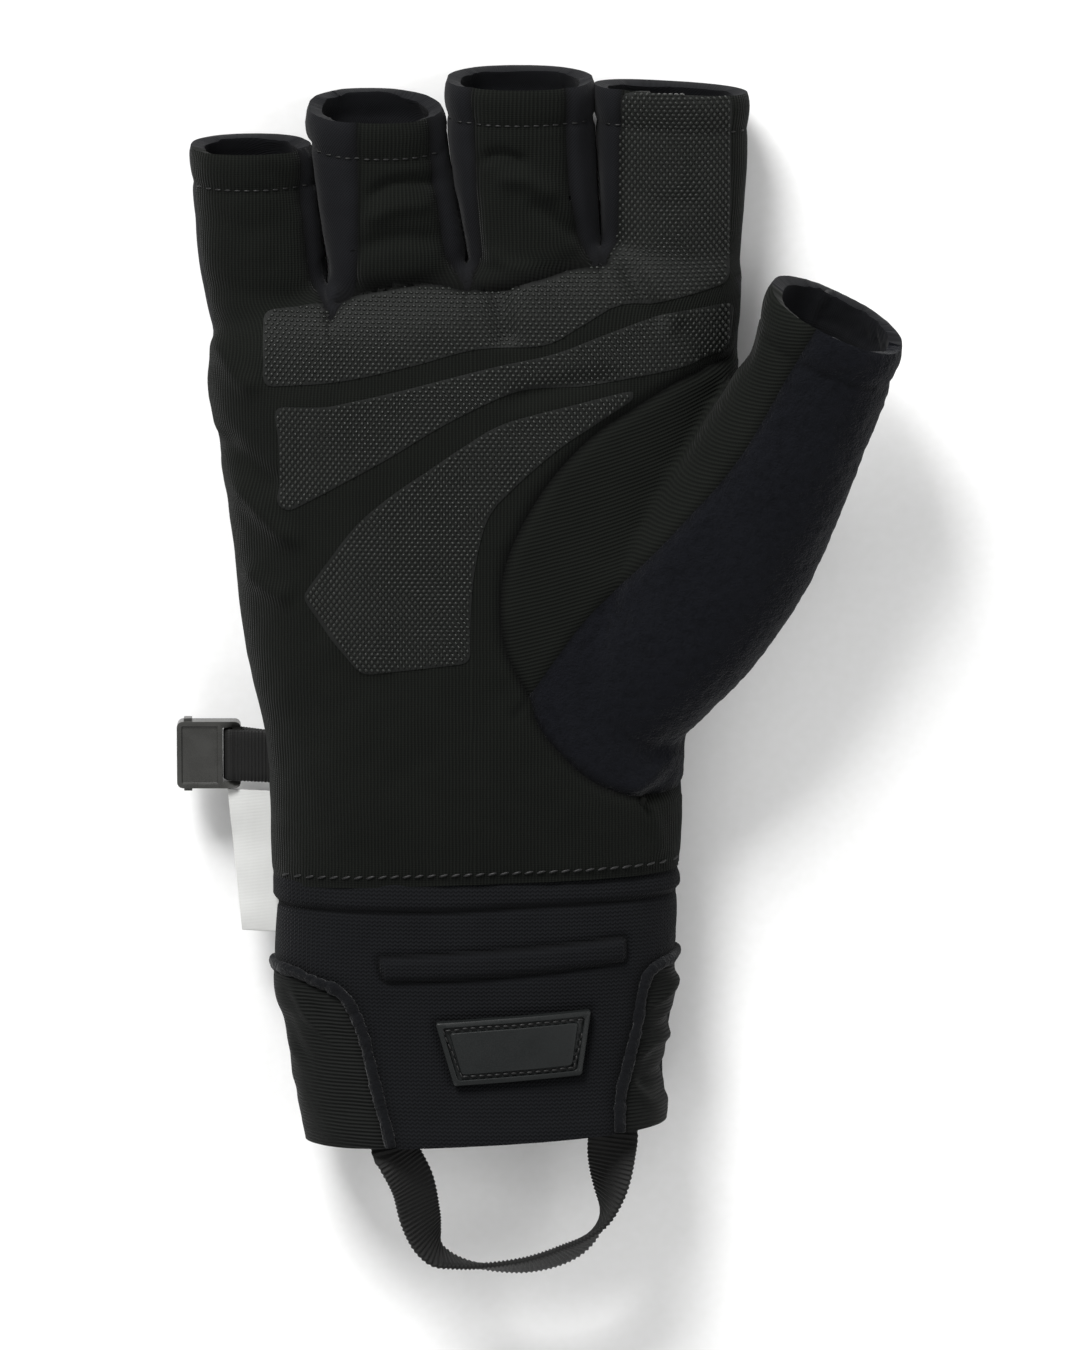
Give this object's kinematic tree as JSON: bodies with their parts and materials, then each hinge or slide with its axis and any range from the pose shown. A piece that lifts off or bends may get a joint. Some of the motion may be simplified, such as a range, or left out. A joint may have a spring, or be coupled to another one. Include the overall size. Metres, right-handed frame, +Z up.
{
  "type": "fishing glove",
  "caption": "Half-finger fishing glove for the right hand, lying palm up, with dotted grip prints, a thumb wipe, a knit cuff and a webbing pull loop.",
  "frame": {"origin": "on the flat resting face of the back of the hand, straight under the middle of the palm", "axes": "+Z up, out of the palm; +Y along the hand to the fingertips; +X across to the thumb"},
  "size_m": [0.1445, 0.2438, 0.0409],
  "materials": {
    "ribbed_knit": "fine vertical ribs, matt",
    "soft_shell": "smooth twill face over fleece, matt",
    "fleece": "short brushed pile",
    "grip_print": "staggered raised dots",
    "cuff_knit": "spacer knit",
    "elastic": "ribbed elastic",
    "badge_rubber": "moulded, matt",
    "grosgrain": "ribbed webbing",
    "buckle_plastic": "moulded, satin",
    "woven_label": "woven, plain"
  },
  "bodies": {
    "root": {"back_panel": "soft_shell", "palm_panel": "ribbed_knit", "ring_finger_front": "ribbed_knit", "middle_finger_front": "ribbed_knit", "fourchette_little_ring": "soft_shell", "fourchette_ring_middle": "soft_shell", "fourchette_middle_index": "soft_shell", "thumb_panel": "ribbed_knit", "thumb_wipe": "fleece", "thumb_back": "soft_shell", "grip_band": "grip_print", "grip_middle": "grip_print", "grip_lower": "grip_print", "cuff_front": "cuff_knit", "cuff_gusset_left": "elastic", "cuff_gusset_right": "elastic", "cuff_back": "cuff_knit", "cuff_piping_left": "cuff_knit", "cuff_piping_right": "cuff_knit", "badge": "badge_rubber", "pull_loop": "grosgrain", "buckle_strap": "grosgrain", "buckle": "buckle_plastic", "label": "woven_label"}
  },
  "joints": []
}
